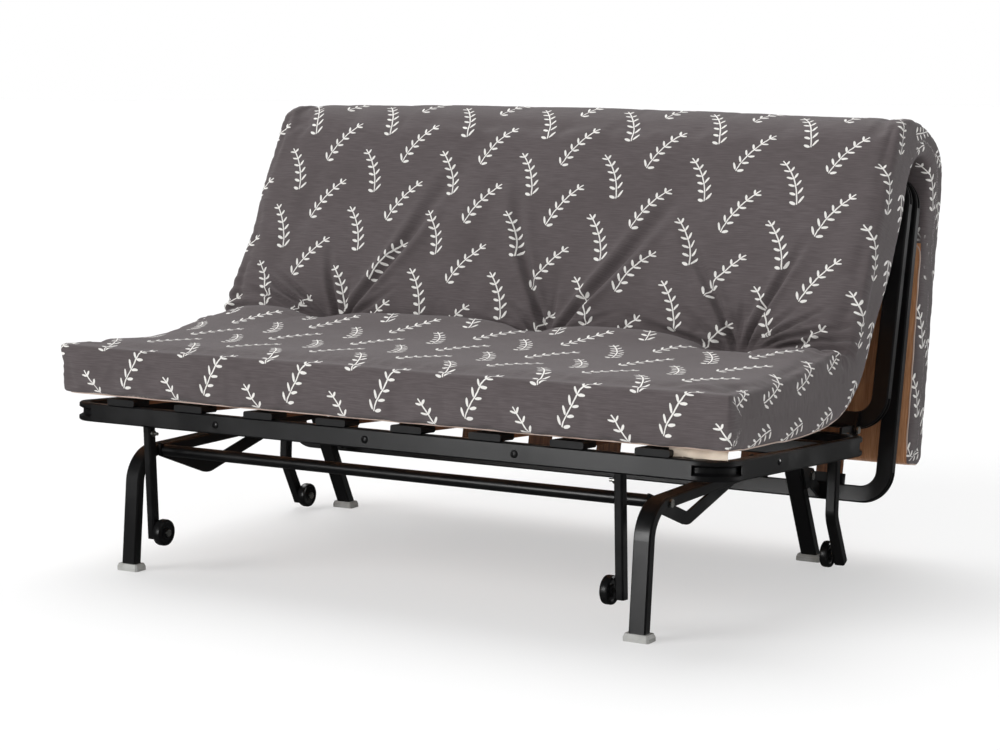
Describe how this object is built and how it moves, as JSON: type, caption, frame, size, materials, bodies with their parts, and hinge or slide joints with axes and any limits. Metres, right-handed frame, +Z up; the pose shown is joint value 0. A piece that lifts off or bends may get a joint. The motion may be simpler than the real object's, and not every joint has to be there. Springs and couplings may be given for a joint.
{
  "type": "sofa bed",
  "caption": "Folding sofa bed: slatted black tube frame in three hinged sections on a legged base, rolling seat and one thick folded mattress with a dark grey cover.",
  "frame": {"origin": "centre of the footprint of the whole object as a sofa, on the floor", "axes": "+X along the seat to the right of someone facing the front, -Y to the front, +Z up"},
  "size_m": [1.4, 0.9836, 0.8545],
  "materials": {
    "frame_black": "satin black powder coat",
    "slat_wood": "stained brown beech ply",
    "holder_black": "matt black moulded plastic",
    "foot_grey": "light grey moulded plastic",
    "wheel_black": "black moulded plastic",
    "zinc": "bright zinc plate",
    "cover_fabric": "dark warm grey woven cover"
  },
  "bodies": {
    "base": {"base_frame_left": "frame_black", "base_frame_right": "frame_black", "base_rear_leg_left": "frame_black", "base_rear_leg_right": "frame_black", "base_cross_tube": "frame_black", "foot_front_left": "foot_grey", "foot_front_right": "foot_grey", "foot_rear_left": "foot_grey", "foot_rear_right": "foot_grey", "pivot_plates": "frame_black", "pivot_bolts": "zinc", "stay_bar_left": "frame_black", "stay_bar_right": "frame_black", "stay_bolts": "zinc"},
    "seat_section": {"seat_rail_front": "frame_black", "seat_rail_rear": "frame_black", "seat_side_left": "frame_black", "seat_side_right": "frame_black", "seat_mid_rail": "frame_black", "seat_slats": "slat_wood", "seat_holders_front": "holder_black", "seat_holders_rear": "holder_black", "front_wheel_leg_left": "frame_black", "front_wheel_leg_right": "frame_black", "rear_wheel_leg_left": "frame_black", "rear_wheel_leg_right": "frame_black", "wheel_axles": "zinc", "seat_hinge_brackets": "frame_black", "seat_hinge_pins": "zinc", "wheel_leg_bolts": "zinc", "mattress_seat": "cover_fabric"},
    "back_section": {"back_bar_bottom": "frame_black", "back_bar_top": "frame_black", "back_side_left": "frame_black", "back_side_right": "frame_black", "back_slats": "slat_wood", "back_holders": "holder_black", "back_hinge_lugs": "frame_black", "top_hinge_plates_back": "frame_black", "top_hinge_pins": "zinc"},
    "rear_section": {"rear_bar_top": "frame_black", "rear_bar_bottom": "frame_black", "rear_side_left": "frame_black", "rear_side_right": "frame_black", "rear_slats": "slat_wood", "rear_holders": "holder_black", "rear_pivot_arms": "frame_black", "top_hinge_plates_rear": "frame_black"},
    "front_wheel_l": {"front_wheel_left": "wheel_black"},
    "front_wheel_r": {"front_wheel_right": "wheel_black"},
    "rear_wheel_l": {"rear_wheel_left": "wheel_black"},
    "rear_wheel_r": {"rear_wheel_right": "wheel_black"},
    "back_pad": {"mattress_back": "cover_fabric", "mattress_seat_fold": "cover_fabric"},
    "top_pad": {"mattress_top_fold": "cover_fabric"},
    "rear_pad": {"mattress_rear": "cover_fabric"}
  },
  "joints": [
    {"name": "fold", "type": "hinge", "parent": "base", "child": "rear_section", "pos_m": [0, 0.188, 0.173], "axis": [1, 0, 0], "range_deg": [0, 102]},
    {"name": "back_turn", "type": "hinge", "parent": "rear_section", "child": "back_section", "pos_m": [0, 0.36098, 0.74309], "axis": [1, 0, 0], "range_deg": [-177.7, 0]},
    {"name": "seat_turn", "type": "hinge", "parent": "back_section", "child": "seat_section", "pos_m": [0, 0.19745, 0.26587], "axis": [1, 0, 0], "range_deg": [0, 79.8]},
    {"name": "mattress_seat_bend", "type": "hinge", "parent": "seat_section", "child": "back_pad", "pos_m": [0, 0.03288, 0.33422], "axis": [1, 0, 0], "range_deg": [-65.1, 0], "deforming": ["mattress_seat_fold"]},
    {"name": "mattress_crown_bend", "type": "hinge", "parent": "back_pad", "child": "top_pad", "pos_m": [0, 0.28804, 0.8577], "axis": [1, 0, 0], "range_deg": [0, 80.1], "deforming": ["mattress_top_fold"]},
    {"name": "mattress_rear_bend", "type": "hinge", "parent": "top_pad", "child": "rear_pad", "pos_m": [0, 0.45628, 0.76704], "axis": [1, 0, 0], "range_deg": [0, 80.1]},
    {"name": "front_wheel_l_roll", "type": "hinge", "parent": "seat_section", "child": "front_wheel_l", "pos_m": [0, -0.45604, 0.07502], "axis": [1, 0, 0], "continuous": true},
    {"name": "front_wheel_r_roll", "type": "hinge", "parent": "seat_section", "child": "front_wheel_r", "pos_m": [0, -0.45604, 0.07502], "axis": [1, 0, 0], "continuous": true},
    {"name": "rear_wheel_l_roll", "type": "hinge", "parent": "seat_section", "child": "rear_wheel_l", "pos_m": [0, 0.17782, 0.02958], "axis": [1, 0, 0], "continuous": true},
    {"name": "rear_wheel_r_roll", "type": "hinge", "parent": "seat_section", "child": "rear_wheel_r", "pos_m": [0, 0.17782, 0.02958], "axis": [1, 0, 0], "continuous": true}
  ],
  "couplings": [
    {"joint": "back_turn", "follows": "fold", "ratio": -1.7422},
    {"joint": "seat_turn", "follows": "fold", "ratio": 0.78235},
    {"joint": "mattress_seat_bend", "follows": "fold", "ratio": -0.63823},
    {"joint": "mattress_crown_bend", "follows": "fold", "ratio": 0.78529},
    {"joint": "mattress_rear_bend", "follows": "fold", "ratio": 0.78529}
  ]
}
